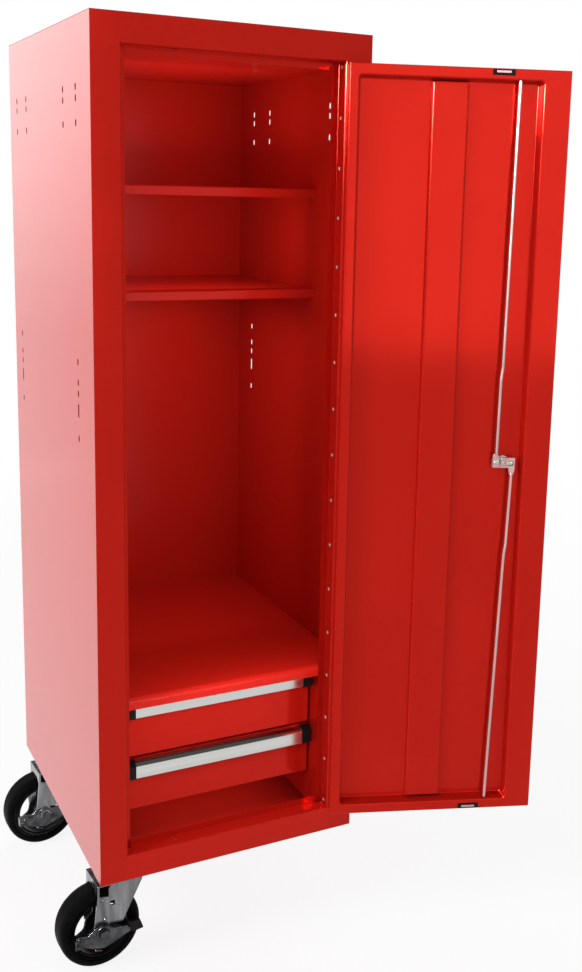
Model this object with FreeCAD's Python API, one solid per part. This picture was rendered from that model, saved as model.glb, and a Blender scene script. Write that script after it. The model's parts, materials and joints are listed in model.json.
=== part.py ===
import FreeCAD, Part
import math
import os

from FreeCAD import Vector

# Tool chest side locker: a tall sheet-metal cabinet on two braked swivel casters, with a door on
# a full-length piano hinge, a two-point rod lock, two shelves and two drawers at the bottom.
# Working frame while modelling (mm): x to the right along the front, y towards the rear, z up,
# zero at the cabinet's front left bottom corner. The parts are moved to the bolt line on the
# right side at the end.

# ---------------------------------------------------------------- driving dimensions (mm)
CAB_W = 469.0            # cabinet width
CAB_D = 550.0            # cabinet depth
CAB_H = 1400.0           # cabinet height, without casters
SHEET = 1.2              # cabinet sheet thickness
BEND = 1.2               # inside radius of the folds
STILE_W = 47.0           # width of the front frame's uprights
RAIL_H = 45.0            # height of the front frame's top and bottom rails
FLOOR_LIP = 25.0         # height of the bottom pan's flanges
STOP_Y = 25.0            # depth of the door stop behind the front
STOP_LIP = 12.0          # height of the door stop's lip

DOOR_T = 24.0            # door thickness
DOOR_GAP_FREE = 6.0      # gap at the door's free edge
DOOR_GAP_Z = 4.0         # gap above and below the door
DOOR_OPEN = 160.0        # how far the door stands open at rest, degrees
DOOR_MORE = 12.0         # how much further it opens
BORDER_HINGE = 16.0      # flat border of the inner face, hinge side
BORDER_FREE = 46.0       # flat border of the inner face, free side
BORDER_Z = 18.0          # flat border of the inner face, top and bottom
RECESS = 20.0            # depth of the recess in the inner face
DRAFT = 3.0              # how far the recess walls lean in over that depth
PRESS_R = 3.4            # visible radius of the pressed folds
PRESS_CORNER = 5.0       # radius of the recess's corners
STIFF_W = 62.0           # width of the upright stiffener
STIFF_H = 8.0            # height of the stiffener above the recess floor
STIFF_BEND = 2.8         # inside radius of its folds

LEAF_T = 1.2             # hinge leaf thickness
LEAF_W = 23.0            # hinge leaf width
LEAF_GAP = 0.6           # gap between the two closed leaves
BARREL_R = 4.2           # hinge barrel radius
PIN_R = 1.6              # hinge pin radius
RUN_CLR = 0.05           # radial running clearance of every pin or shaft in its bore
KNUCKLES = 33            # hinge knuckles, odd
KNUCKLE_GAP = 0.4        # axial gap between knuckles
RIVETS = 17              # rivets in the frame leaf
RIVET_R = 3.0            # rivet head radius
RIVET_DOME = 0.30        # height of the bevelled rivet heads
RIVET_Y = 14.0           # rivets, depth behind the front
RIVET_END = 3.5          # first and last rivet from the hinge's ends

LOCK_FROM_FREE = 78.5    # lock axis, distance from the door's free edge
LOCK_Z = 694.0           # lock axis, height above the cabinet bottom
LOCK_NUT_R = 11.5        # radius of the lock's round nut
HUB_DEPTH = 20.0         # how far the handle stands out
GRIP = 34.0              # half length of the handle's grip
SPINDLE_R = 5.0          # lock spindle radius
PIN_OFFSET = 14.0        # throw of the cam: rod pins off the lock axis
ROD_R = 3.2              # lock rod radius
ROD_STROKE = 14.0        # travel of each lock rod
ROD_JOG = 2.0            # sideways step in each rod
ROD_JOG_AT = 146.0       # distance of that step from the lock axis
ROD_JOG_L = 20.0         # length of that step
GUIDE_FROM_FREE = 83.5   # rod guide holes, distance from the door's free edge
CATCH_FROM_FREE = 114.0  # magnetic catches, distance from the door's free edge
ROD_Y = 17.0             # rod axes, depth behind the door's front
CAM_Y = 11.0             # back of the cam, depth behind the door's front
CAM_T = 2.4              # cam thickness
TAB_T = 2.0              # thickness of the rods' flattened ends
FREE_CLR = 0.35          # clearance between pieces that pass each other
GUIDE_CLR = 0.75         # radial clearance of a rod in the door's guide holes
STRIKE_CLR = 1.75        # radial clearance of a rod in the frame's strike holes

SHELF_FRONT = 192.0      # shelf lip, depth behind the front
SHELF_TOPS = [1152.0, 971.5]
SHELF_LIP = 17.0
SHELF_RETURN = 10.0      # flange behind the shelf lip
SHELF_TAB_Y = 415.0      # upstands on the shelves' ends: front edge, width and height
SHELF_TAB_W = 26.0
SHELF_TAB_H = 42.0
BAY_TOP = 309.0          # top of the drawer bay
BAY_LIP = 18.5           # depth of its front lip
BAY_LIP_Y = 27.0         # front of that lip
BAY_BEND = 9.0           # inside radius of that fold

DRAWER_FACE_Y = 61.0     # front of the drawer faces
DRAWER_X0 = 60.5         # left end of the drawer faces
DRAWERS = [              # name, face bottom, face top
    ("lower", 91.0, 185.0),
    ("upper", 189.0, 289.8),
]
PULL_H = {"lower": 30.0, "upper": 24.8}
TRAY_INSET = 9.6         # tray sides from the ends of the face
DRAWER_DEPTH = 430.0     # drawer tray depth
DRAWER_STROKE = 400.0    # drawer travel
PULL_DEPTH = 13.0        # how far the drawer pulls stand out
PULL_DROP = 8.5          # fall of the pulls' sloping top
PULL_SKIN = 1.6          # wall of the pull extrusion
CAP_W = 17.0             # end cap width
SLIDE_H = 35.0           # height of the drawer slides
SLIDE_T = 3.6            # thickness of each slide member

SLOT_W = 7.0             # side bolt slots: width
SLOT_L = 11.0            # side bolt slots: length
LONG_SLOT_L = 23.0       # the long slot of each middle column
LEFT_COLUMNS = [83.0, 160.0, 419.0, 492.5]
RIGHT_COLUMNS = [70.0, 146.0, 405.0, 481.0]
LEFT_MIDDLE = [92.5, 492.5]
RIGHT_MIDDLE = [79.0, 481.0]
TOP_ROWS = [1296.0, 1279.0, 1242.0]
MIDDLE_ROWS = [870.0, 837.0, 818.5, 745.0]
LONG_ROW = 791.0

WHEEL_R = 71.5           # caster wheel radius
TREAD_W = 46.0           # tyre width
RIM_R = 52.0             # radius of the tyre's seat on the wheel
RIM_IN = 46.5            # inside radius of the wheel's rim
WEB_T = 6.0              # thickness of the wheel's web
WINDOW_R0 = 27.5         # windows in the web: inner and outer radius
WINDOW_R1 = 43.5
WINDOW_SPAN = 88.0       # and their span and start, degrees
WINDOW_START = 115.0
AXLE_R = 5.5             # axle radius
TRAIL = 32.0             # axle behind the swivel axis
AXLE_Z = -106.0          # axle height, cabinet bottom is zero
KING_X = 42.0            # swivel axis from the cabinet's left side
KING_Y = 63.0            # swivel axes from the cabinet's front and rear
SWIVEL_REST = 3.3        # swivel angle at rest, degrees
PLATE_X = 80.0           # caster top plate
PLATE_Y = 100.0
FORK_T = 3.5             # fork thickness
FORK_IN = 26.5           # inside of the fork legs from the wheel's middle plane
BOLT_R = 4.0             # caster bolt radius
BRAKE_TURN = 18.0        # travel of the brake lever, degrees
APRON_H = 20.0           # depth of the fork's side flange
LEVER_T = 4.0            # brake lever thickness

os.makedirs("parts", exist_ok=True)

# ---------------------------------------------------------------- derived positions
RIGHT_IN = CAB_W - STILE_W
HINGE_X = RIGHT_IN - LEAF_T - LEAF_GAP / 2.0
HINGE_Y = -BARREL_R - 0.3
DOOR_X1 = HINGE_X - LEAF_GAP / 2.0 - LEAF_T
DOOR_X0 = STILE_W + DOOR_GAP_FREE
DOOR_Z0 = RAIL_H + DOOR_GAP_Z
DOOR_Z1 = CAB_H - RAIL_H - DOOR_GAP_Z
LOCK_X = DOOR_X0 + LOCK_FROM_FREE
GUIDE_X = DOOR_X0 + GUIDE_FROM_FREE
CATCH_X = DOOR_X0 + CATCH_FROM_FREE
ORIGIN = Vector(CAB_W, RIGHT_MIDDLE[1], (MIDDLE_ROWS[0] + MIDDLE_ROWS[-1]) / 2.0)
UP = Vector(0, 0, 1)
BACK = Vector(0, 1, 0)


# ---------------------------------------------------------------- helpers
def block(x0, y0, z0, x1, y1, z1):
    return Part.makeBox(x1 - x0, y1 - y0, z1 - z0, Vector(x0, y0, z0))


def rod(radius, start, end):
    way = end.sub(start)
    return Part.makeCylinder(radius, way.Length, start, way)


def fuse_all(shapes):
    body = shapes[0].multiFuse(shapes[1:]) if len(shapes) > 1 else shapes[0]
    return body.removeSplitter()


def cut_all(body, tools):
    return body.cut(tools[0].multiFuse(tools[1:]) if len(tools) > 1 else tools[0])


def rounded_edges(points, radii):
    """Lines through the points, each inner corner rounded with its radius."""
    edges = []
    last = points[0]
    for i in range(1, len(points) - 1):
        a = points[i - 1].sub(points[i]).normalize()
        b = points[i + 1].sub(points[i]).normalize()
        half = a.getAngle(b) / 2.0
        run = radii[i - 1] / math.tan(half)
        p = points[i].add(Vector(a).multiply(run))
        q = points[i].add(Vector(b).multiply(run))
        middle = Vector(a).add(b).normalize()
        centre = points[i].add(Vector(middle).multiply(radii[i - 1] / math.sin(half)))
        crown = centre.sub(Vector(middle).multiply(radii[i - 1]))
        if last.distanceToPoint(p) > 1e-6:
            edges.append(Part.makeLine(last, p))
        edges.append(Part.Arc(p, crown, q).toShape())
        last = q
    edges.append(Part.makeLine(last, points[-1]))
    return edges


def folded(path, thick, length, bend=BEND):
    """A folded strip along z: the path is one skin, the other lies to its left."""
    pts = [Vector(x, y, 0) for x, y in path]
    other = []
    turns = []
    for i, p in enumerate(pts):
        before = p.sub(pts[i - 1]).normalize() if i > 0 else None
        after = pts[i + 1].sub(p).normalize() if i < len(pts) - 1 else None
        d = before if after is None else after
        normal = Vector(-d.y, d.x, 0)
        if before is None or after is None:
            other.append(p.add(Vector(normal).multiply(thick)))
            continue
        n0 = Vector(-before.y, before.x, 0)
        bis = Vector(n0).add(normal).normalize()
        other.append(p.add(bis.multiply(thick / n0.dot(Vector(bis).normalize()))))
        turns.append(before.x * after.y - before.y * after.x)
    near = [bend if s < 0 else bend + thick for s in turns]
    far = [bend + thick if s < 0 else bend for s in turns]
    edges = rounded_edges(pts, near)
    edges.append(Part.makeLine(pts[-1], other[-1]))
    edges += rounded_edges(other[::-1], far[::-1])
    edges.append(Part.makeLine(other[0], pts[0]))
    face = Part.Face(Part.Wire(Part.__sortEdges__(edges)))
    return face.extrude(Vector(0, 0, length))


def folded_along_x(path, x0, x1, thick, bend):
    """A folded strip along x: the path's points are (y, z)."""
    flat = folded([(z, y) for y, z in path], thick, x1 - x0, bend)
    return flat.transformed(FreeCAD.Matrix(0, 0, 1, x0, 0, 1, 0, 0, 1, 0, 0, 0, 0, 0, 0, 1))


def polygon(points, place, along):
    """Extruded outline: place maps a 2-D point to 3-D, along is the extrusion."""
    pts = [place(a, b) for a, b in points]
    return Part.Face(Part.makePolygon(pts + [pts[0]])).extrude(along)


def slot_x(x, y, z, width, length):
    """Upright slot cutter through a side panel, centred on (y, z)."""
    half = (length - width) / 2.0
    r = width / 2.0
    a = rod(r, Vector(x - 5, y, z - half), Vector(x + 5, y, z - half))
    b = rod(r, Vector(x - 5, y, z + half), Vector(x + 5, y, z + half))
    return fuse_all([a, b, block(x - 5, y - r, z - half, x + 5, y + r, z + half)])


def tray(x0, y0, z0, x1, y1, z1, t):
    """Open-topped box."""
    return block(x0, y0, z0, x1, y1, z1).cut(block(x0 + t, y0 + t, z0 + t, x1 - t, y1 - t, z1 + 1))


def turn(shape, degrees, centre, axis):
    out = shape.copy()
    out.rotate(centre, axis, degrees)
    return out


def save(name, shape):
    out = shape.copy()
    out.translate(ORIGIN.negative())
    out.exportStep("parts/%s.step" % name)


def save_door(name, shape):
    save(name, turn(shape, DOOR_OPEN, Vector(HINGE_X, HINGE_Y, 0), UP))


# ---------------------------------------------------------------- cabinet shell
def side_panel(x, columns, middles):
    panel = block(x, SHEET, 0, x + SHEET, CAB_D - SHEET, CAB_H - SHEET)
    slots = []
    for y in columns:
        for z in TOP_ROWS:
            slots.append(slot_x(x, y, z, SLOT_W, SLOT_L))
    for y in middles:
        for z in MIDDLE_ROWS:
            slots.append(slot_x(x, y, z, SLOT_W, SLOT_L))
        slots.append(slot_x(x, y, LONG_ROW, SLOT_W, LONG_SLOT_L))
    return cut_all(panel, slots)


def shell():
    save("side_panel_left", side_panel(0, LEFT_COLUMNS, LEFT_MIDDLE))
    save("side_panel_right", side_panel(CAB_W - SHEET, RIGHT_COLUMNS, RIGHT_MIDDLE))
    save("back_panel", block(0, CAB_D - SHEET, 0, CAB_W, CAB_D, CAB_H - SHEET))
    save("top_panel", block(0, 0, CAB_H - SHEET, CAB_W, CAB_D, CAB_H))
    ceiling = CAB_H - RAIL_H
    save("ceiling_panel", block(SHEET, STOP_Y + SHEET, ceiling,
                                CAB_W - SHEET, CAB_D - SHEET, ceiling + SHEET))
    # the bottom pan reaches the front rail and is notched round the uprights
    floor = tray(SHEET, SHEET, 0, CAB_W - SHEET, CAB_D - SHEET, FLOOR_LIP, SHEET)
    bores = []
    wide = SHEET + BEND + STOP_LIP
    for x in (STILE_W - SHEET - BEND, CAB_W - STILE_W - STOP_LIP):
        bores.append(block(x, -1, -1, x + wide, STOP_Y + SHEET, FLOOR_LIP + 1))
    for ky in (KING_Y, CAB_D - KING_Y):
        for x, y in caster_holes(ky):
            bores.append(rod(BOLT_R + 0.2, Vector(x, y, -2), Vector(x, y, 5)))
    save("floor_pan", cut_all(floor, bores))


def frame():
    # uprights: front face, jamb and stop lip in one folded strip
    path = [(0, 0), (STILE_W, 0), (STILE_W, STOP_Y), (STILE_W + STOP_LIP, STOP_Y)]
    left = folded(path, SHEET, CAB_H - SHEET)
    right = left.mirror(Vector(CAB_W / 2.0, 0, 0), Vector(1, 0, 0))
    save("stile_left", left)
    save("stile_right", right)
    save("rail_top", rail(CAB_H - SHEET, [left, right]))
    bottom = rail(CAB_H, [])
    bottom = bottom.mirror(Vector(0, 0, CAB_H / 2.0), Vector(0, 0, 1))
    save("rail_bottom", cut_all(bottom, [left, right]))


def rail(outer_edge, uprights):
    """Top rail: front face, soffit and stop lip, laid between the uprights."""
    inner_edge = CAB_H - RAIL_H
    path = [(STOP_Y, inner_edge - STOP_LIP), (STOP_Y, inner_edge), (0, inner_edge), (0, outer_edge)]
    x0 = STILE_W
    x1 = CAB_W - STILE_W
    strip = folded_along_x(path, x0, x1, SHEET, BEND)
    # the uprights' stop lips take the place of the rail's own at both ends
    room = STOP_LIP + FREE_CLR
    notches = []
    for a, b in ((x0 - 1, x0 + room), (x1 - room, x1 + 1)):
        low = inner_edge - STOP_LIP - 1
        notches.append(block(a, STOP_Y - 2 * BEND, low, b, STOP_Y + 5, inner_edge + 5))
    strike = rod(ROD_R + STRIKE_CLR, Vector(GUIDE_X, ROD_Y, inner_edge - 3),
                 Vector(GUIDE_X, ROD_Y, inner_edge + 5))
    # ears fill the uprights' rounded corners, so that the front is flush
    ear = SHEET + BEND
    face0 = inner_edge + ear
    ears = [block(x0 - ear, 0, face0, x0, SHEET, outer_edge), block(x1, 0, face0, x1 + ear, SHEET, outer_edge)]
    return cut_all(fuse_all([strip] + ears), notches + [strike] + uprights)


def shelves():
    x0 = SHEET
    x1 = CAB_W - SHEET
    back = CAB_D - SHEET
    for name, top in zip(("shelf_upper", "shelf_lower"), SHELF_TOPS):
        low = top - SHELF_LIP
        path = [(SHELF_FRONT + SHELF_RETURN, low), (SHELF_FRONT, low), (SHELF_FRONT, top), (back, top)]
        deck = folded_along_x(path, x0 + FREE_CLR, x1 - FREE_CLR, SHEET, 2.0)
        # upstands that screw to the side panels
        tabs = []
        for x in (x0, x1 - SHEET):
            tabs.append(block(x, SHELF_TAB_Y, top - SHEET, x + SHEET, SHELF_TAB_Y + SHELF_TAB_W,
                              top + SHELF_TAB_H))
        save(name, fuse_all([deck] + tabs))


def drawer_bay():
    x0 = SHEET
    x1 = CAB_W - SHEET
    back = CAB_D - SHEET
    path = [(BAY_LIP_Y, BAY_TOP - BAY_LIP), (BAY_LIP_Y, BAY_TOP), (back, BAY_TOP)]
    save("bay_top", folded_along_x(path, x0, x1, SHEET, BAY_BEND))
    inner = slide_x()
    low = 30.0
    front = STOP_Y + SHEET
    sheets = []
    for x in (inner[0] - SHEET, inner[1]):
        sheets.append(block(x, front, low, x + SHEET, back, BAY_TOP - SHEET - 8.0))
    foot = [block(x0, front, low, inner[0] - SHEET, back, low + SHEET),
            block(inner[1] + SHEET, front, low, x1, back, low + SHEET)]
    # room for the rounded fold of the bay's top
    over = block(x0, front - 1, BAY_TOP - BAY_LIP - 0.5, x1, BAY_LIP_Y + SHEET + BAY_BEND, BAY_TOP)
    liners = [fuse_all([sheets[0], foot[0]]).cut(over), fuse_all([sheets[1], foot[1]]).cut(over)]
    save("bay_liners", Part.Compound(liners))


def slide_x():
    """Inner faces of the sheets that carry the slides, left and right."""
    side = 3 * SLIDE_T + 2 * 0.4
    return DRAWER_X0 + TRAY_INSET - side, CAB_W - DRAWER_X0 - TRAY_INSET + side


# ---------------------------------------------------------------- hinge
def knuckles(first):
    z0 = DOOR_Z0
    pitch = (DOOR_Z1 - DOOR_Z0) / KNUCKLES
    out = []
    for i in range(first, KNUCKLES, 2):
        a = z0 + i * pitch + KNUCKLE_GAP / 2.0
        b = z0 + (i + 1) * pitch - KNUCKLE_GAP / 2.0
        out.append((a, b))
    return out


def hinge_leaf(x_face, side, first, bore):
    """A leaf lying on x_face, with its share of the knuckles. side is +1 for the frame leaf."""
    x0 = min(x_face, x_face - side * LEAF_T)
    plate = block(x0, 0.0, DOOR_Z0, x0 + LEAF_T, LEAF_W, DOOR_Z1)
    pieces = [plate]
    for a, b in knuckles(first):
        barrel = Part.makeCylinder(BARREL_R, b - a, Vector(HINGE_X, HINGE_Y, a))
        neck = block(x0, HINGE_Y, a, x0 + LEAF_T, 0.5, b)
        barrel = barrel.fuse(neck)
        if bore > 0:
            barrel = barrel.cut(Part.makeCylinder(bore, b - a + 2, Vector(HINGE_X, HINGE_Y, a - 1)))
        pieces.append(barrel)
    return fuse_all(pieces)


def hinge():
    frame_leaf = hinge_leaf(RIGHT_IN, 1, 0, PIN_R)
    save("hinge_leaf_frame", frame_leaf)
    save("hinge_pin", Part.makeCylinder(PIN_R, DOOR_Z1 - DOOR_Z0, Vector(HINGE_X, HINGE_Y, DOOR_Z0)))
    save_door("hinge_leaf_door", hinge_leaf(DOOR_X1, -1, 1, PIN_R + RUN_CLR))
    heads = []
    pitch = (DOOR_Z1 - DOOR_Z0 - 2 * RIVET_END) / (RIVETS - 1)
    x = RIGHT_IN - LEAF_T
    for i in range(RIVETS):
        z = DOOR_Z0 + RIVET_END + i * pitch
        seat = Vector(x, RIVET_Y, z)
        heads.append(Part.makeCone(RIVET_R, 0.6 * RIVET_R, RIVET_DOME, seat, Vector(-1, 0, 0)))
    save("hinge_rivets", Part.Compound(heads))


# ---------------------------------------------------------------- door
def door():
    t = SHEET
    y_in = DOOR_T - t
    outer = block(DOOR_X0, 0, DOOR_Z0, DOOR_X1, y_in, DOOR_Z1)
    inner = block(DOOR_X0 + t, t, DOOR_Z0 + t, DOOR_X1 - t, y_in + 1, DOOR_Z1 - t)
    lock_hole = rod(9.3, Vector(LOCK_X, -1, LOCK_Z), Vector(LOCK_X, 8, LOCK_Z))
    up_hole = rod(ROD_R + GUIDE_CLR, Vector(GUIDE_X, ROD_Y, DOOR_Z1 - 4), Vector(GUIDE_X, ROD_Y, DOOR_Z1 + 2))
    low_hole = rod(ROD_R + GUIDE_CLR, Vector(GUIDE_X, ROD_Y, DOOR_Z0 - 2), Vector(GUIDE_X, ROD_Y, DOOR_Z0 + 4))
    fronts = [e for e in outer.Edges if abs(e.BoundBox.YMax) < 1e-6]
    skin = outer.makeFillet(1.8, fronts).cut(inner)
    save_door("door_skin", cut_all(skin, [lock_hole, up_hole, low_hole]))

    # inner pan: flat border, leaning recess walls and recess floor pressed from one sheet
    rx0 = DOOR_X0 + BORDER_FREE
    rx1 = DOOR_X1 - BORDER_HINGE
    rz0 = DOOR_Z0 + BORDER_Z
    rz1 = DOOR_Z1 - BORDER_Z
    floor = DOOR_T - RECESS
    ring = block(DOOR_X0, y_in, DOOR_Z0, DOOR_X1, DOOR_T, DOOR_Z1)
    rim = [e for e in ring.Edges if abs(e.BoundBox.YMin - DOOR_T) < 1e-6]
    ring = ring.makeFillet(t * 0.8, rim)
    under = basin(rx0, rx1, rz0, rz1, floor, t).common(block(0, 0, 0, CAB_W, y_in + 0.5, CAB_H))
    pan = ring.fuse(under).removeSplitter()
    hidden = [e for e in pan.Edges if on_rim(e, y_in, rx0 - 2 * t, rx1 + 2 * t, rz0 - 2 * t, rz1 + 2 * t)]
    pan = pan.makeFillet(PRESS_R - t, hidden)
    pan = pan.cut(basin(rx0, rx1, rz0, rz1, floor, 0.0))
    rim = [e for e in pan.Edges if on_rim(e, DOOR_T, rx0, rx1, rz0, rz1)]
    pan = pan.makeFillet(PRESS_R, rim)
    guides = [
        lock_hole,
        rod(ROD_R + GUIDE_CLR, Vector(wall_x(1), ROD_Y, rz1 - 8), Vector(wall_x(1), ROD_Y, rz1 + 4)),
        rod(ROD_R + GUIDE_CLR, Vector(wall_x(-1), ROD_Y, rz0 - 4), Vector(wall_x(-1), ROD_Y, rz0 + 8)),
    ]
    slots = [catch_block(z, 0.0) for z in (DOOR_Z0, DOOR_Z1)]
    save_door("door_inner_pan", cut_all(pan.removeSplitter(), guides + slots))

    # hat-section stiffener on the recess floor
    middle = (rx0 + rx1) / 2.0
    a = middle - STIFF_W / 2.0
    b = middle + STIFF_W / 2.0
    room = DRAFT + PRESS_R + 0.6
    path = [(b, floor), (b, floor + STIFF_H), (a, floor + STIFF_H), (a, floor)]
    hat = folded(path, SHEET, rz1 - rz0 - 2 * room, STIFF_BEND)
    hat.translate(Vector(0, 0, rz0 + room))
    save_door("door_stiffener", hat)

    cases = []
    poles = []
    for z in (DOOR_Z0, DOOR_Z1):
        body = catch_block(z, 0.05)
        bar = pole_block(z)
        cases.append(body.cut(bar))
        poles.append(bar)
    save_door("magnet_cases", Part.Compound(cases))
    save_door("magnet_poles", Part.Compound(poles))


def basin(x0, x1, z0, z1, floor, grow):
    """The recess as a solid: rounded, narrower at its floor. grow makes it larger all round."""
    lean = DRAFT / RECESS
    top = DOOR_T + 6.0
    low = floor - grow
    a = DRAFT + lean * grow
    b = -lean * (top - DOOR_T)
    shell_ = Part.makeWedge(x0 + a - grow, low, z0 + a - grow, z0 + b - grow, x0 + b - grow,
                            x1 - a + grow, top, z1 - a + grow, z1 - b + grow, x1 - b + grow)
    upright = [e for e in shell_.Edges if e.BoundBox.YLength > 5.0]
    shell_ = shell_.makeFillet(PRESS_CORNER + grow, upright)
    bottom = [e for e in shell_.Edges if e.BoundBox.YMax < low + 1e-4]
    return shell_.makeFillet(PRESS_R - SHEET + grow, bottom)


def on_rim(edge, y, x0, x1, z0, z1):
    """True for the edges at depth y where the recess walls meet the flat border."""
    b = edge.BoundBox
    if abs(b.YMin - y) > 1e-4 or abs(b.YMax - y) > 1e-4:
        return False
    inside = b.XMin > x0 - 0.5 and b.XMax < x1 + 0.5
    return inside and b.ZMin > z0 - 0.5 and b.ZMax < z1 + 0.5


def catch_block(z_edge, shrink):
    """Body of a magnetic catch let into the border at the top or bottom edge of the door."""
    x = CATCH_X
    s = 1 if z_edge < CAB_H / 2.0 else -1
    za = z_edge + s * (SHEET + 0.1)
    zb = z_edge + s * 11.0
    return block(x - 19.0 + shrink, DOOR_T - SHEET - 9.0, min(za, zb) + shrink,
                 x + 19.0 - shrink, DOOR_T + 0.3 - shrink, max(za, zb) - shrink)


def pole_block(z_edge):
    x = CATCH_X
    s = 1 if z_edge < CAB_H / 2.0 else -1
    za = z_edge + s * 3.2
    zb = z_edge + s * 6.8
    return block(x - 12.0, DOOR_T - 7.0, min(za, zb), x + 12.0, DOOR_T + 0.6, max(za, zb))


# ---------------------------------------------------------------- lock
def lock():
    c = Vector(LOCK_X, 0, LOCK_Z)
    bore_r = SPINDLE_R + RUN_CLR

    def cyl(radius, y0, y1):
        return rod(radius, Vector(c.x, y0, c.z), Vector(c.x, y1, c.z))

    floor = DOOR_T - RECESS
    bezel = cyl(15.0, -4.0, 0.0)
    bezel = bezel.makeFillet(1.5, [e for e in bezel.Edges if abs(e.BoundBox.YMax + 4.0) < 1e-6])
    barrel = cyl(9.0, -0.5, floor + 5.0)
    nut = cyl(LOCK_NUT_R, floor, floor + 5.0)
    nut = nut.makeFillet(1.2, [e for e in nut.Edges if abs(e.BoundBox.YMin - floor - 5.0) < 1e-6])
    save_door("lock_body", fuse_all([bezel, barrel, nut]).cut(cyl(bore_r, -6, floor + 7)))

    cam_top = CAM_Y + CAM_T
    square = SPINDLE_R * 0.7
    drive = block(c.x - square, CAM_Y - 1.0, c.z - square, c.x + square, cam_top, c.z + square)
    spindle = cyl(SPINDLE_R, -6.0, CAM_Y).fuse(drive)
    hub = cyl(13.0, -HUB_DEPTH, -4.4)
    hub = hub.makeFillet(1.5, [e for e in hub.Edges if abs(e.BoundBox.YMax + HUB_DEPTH) < 1e-6])
    bar = block(c.x - GRIP, 1.0 - HUB_DEPTH, c.z - 6.5, c.x + GRIP, 10.0 - HUB_DEPTH, c.z + 6.5)
    ends = [e for e in bar.Edges if e.BoundBox.YLength > 5.0]
    bar = bar.makeFillet(6.0, ends)
    handle = fuse_all([hub, bar, spindle]).cut(cyl(7.0, -HUB_DEPTH - 1.0, 8.0 - HUB_DEPTH))
    save_door("lock_handle", handle)
    keyway = block(c.x - 0.9, -HUB_DEPTH - 2.0, c.z - 4.2, c.x + 0.9, 4.0 - HUB_DEPTH, c.z + 4.2)
    core = cyl(7.0, -HUB_DEPTH - 0.4, 8.0 - HUB_DEPTH).cut(keyway)
    save_door("lock_core", core)

    # cam: flat bar driven by the spindle's square, with a pin for each rod
    plate = block(c.x - 20.0, CAM_Y, c.z - 8.5, c.x + 20.0, cam_top, c.z + 8.5)
    ends = [e for e in plate.Edges if e.BoundBox.YLength > 2.0]
    plate = plate.makeFillet(4.0, ends)
    pins = []
    for side in (1, -1):
        x = c.x + side * PIN_OFFSET
        pins.append(rod(2.0, Vector(x, CAM_Y + 0.5, c.z), Vector(x, tab_level(side) + TAB_T + 0.8, c.z)))
    save_door("lock_cam", fuse_all([plate] + pins).cut(drive))

    save_door("rod_upper", lock_rod(1))
    save_door("rod_lower", lock_rod(-1))


def tab_level(side):
    """Depth of a rod's flattened end: the upper rod's lies on the cam, the lower rod's on top of it."""
    first = CAM_Y + CAM_T + FREE_CLR
    return first if side > 0 else first + TAB_T + FREE_CLR


def rod_ends(side):
    """Height of a rod's end at the cam and at the guide hole, and its sideways slope between them."""
    start_z = LOCK_Z + side * (13.0 if side > 0 else 18.0)
    guide_z = DOOR_Z1 - 2.5 if side > 0 else DOOR_Z0 + 2.5
    run = GUIDE_X + side * ROD_JOG - LOCK_X - side * PIN_OFFSET
    return start_z, guide_z, run / abs(guide_z - start_z)


def wall_x(side):
    """Where a rod passes the recess wall, at the middle of its travel."""
    return GUIDE_X - rod_ends(side)[2] * (BORDER_Z + ROD_STROKE / 2.0 - 2.5)


def lock_rod(side):
    """A lock rod with its flattened, slotted end. side is +1 for the upper rod."""
    y = ROD_Y
    tab_y0 = tab_level(side)
    tab_y1 = tab_y0 + TAB_T
    start_z, guide_z, slope = rod_ends(side)
    start = Vector(LOCK_X + side * PIN_OFFSET, y, start_z)
    gate = Vector(GUIDE_X, y, guide_z)
    # straight, a short sideways step, and straight again to the guide hole
    z1 = LOCK_Z + side * ROD_JOG_AT
    z2 = z1 + side * ROD_JOG_L
    bend1 = Vector(start.x + slope * abs(z1 - start.z), y, z1)
    bend2 = Vector(start.x + slope * abs(z2 - start.z) - side * ROD_JOG, y, z2)
    way = gate.sub(bend2).normalize()
    tip = gate.sub(Vector(way).multiply(6.0))
    pieces = [rod(ROD_R, start, bend1), rod(ROD_R, bend1, bend2), rod(ROD_R, bend2, tip)]
    pieces += [Part.makeSphere(ROD_R, bend1), Part.makeSphere(ROD_R, bend2)]
    pieces.append(Part.makeCone(ROD_R, ROD_R * 0.55, 6.0, tip, way))

    def place(a, b):
        return Vector(LOCK_X + side * a, tab_y0, LOCK_Z + side * b)

    # flattened end: a plate over the cam, drawn in to the rod
    neck = 16.0 if side > 0 else 22.0
    outline = [(-6.0, -8.8), (19.5, -8.8), (19.5, 12.0), (17.5, neck), (10.5, neck), (8.0, 8.8), (-6.0, 8.8)]
    yoke = polygon(outline, place, Vector(0, TAB_T, 0))
    corners = [e for e in yoke.Edges if e.BoundBox.YLength > 1.9]
    yoke = yoke.makeFillet(1.6, corners)
    xs = sorted((LOCK_X - side * 2.9, LOCK_X + side * 16.9))
    zs = sorted((LOCK_Z - side * 2.4, LOCK_Z + side * 5.4))
    through = block(xs[0], tab_y0 - 1, zs[0], xs[1], tab_y1 + 1, zs[1])
    return fuse_all([yoke] + pieces).cut(through)


# ---------------------------------------------------------------- drawers
def arc_edge(points):
    return Part.Arc(points[0], points[1], points[2]).toShape()


def extruded_along_x(corners, x0, x1):
    """Extruded outline: corners are (y, z), and a corner given as three points is an arc."""
    edges = []
    last = None
    first = None
    for c in corners:
        arc = isinstance(c[0], tuple)
        pts = [Vector(x0, y, z) for y, z in (c if arc else [c])]
        if last is not None:
            edges.append(Part.makeLine(last, pts[0]))
        if arc:
            edges.append(arc_edge(pts))
        first = pts[0] if first is None else first
        last = pts[-1]
    edges.append(Part.makeLine(last, first))
    return Part.Face(Part.Wire(edges)).extrude(Vector(x1 - x0, 0, 0))


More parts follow.
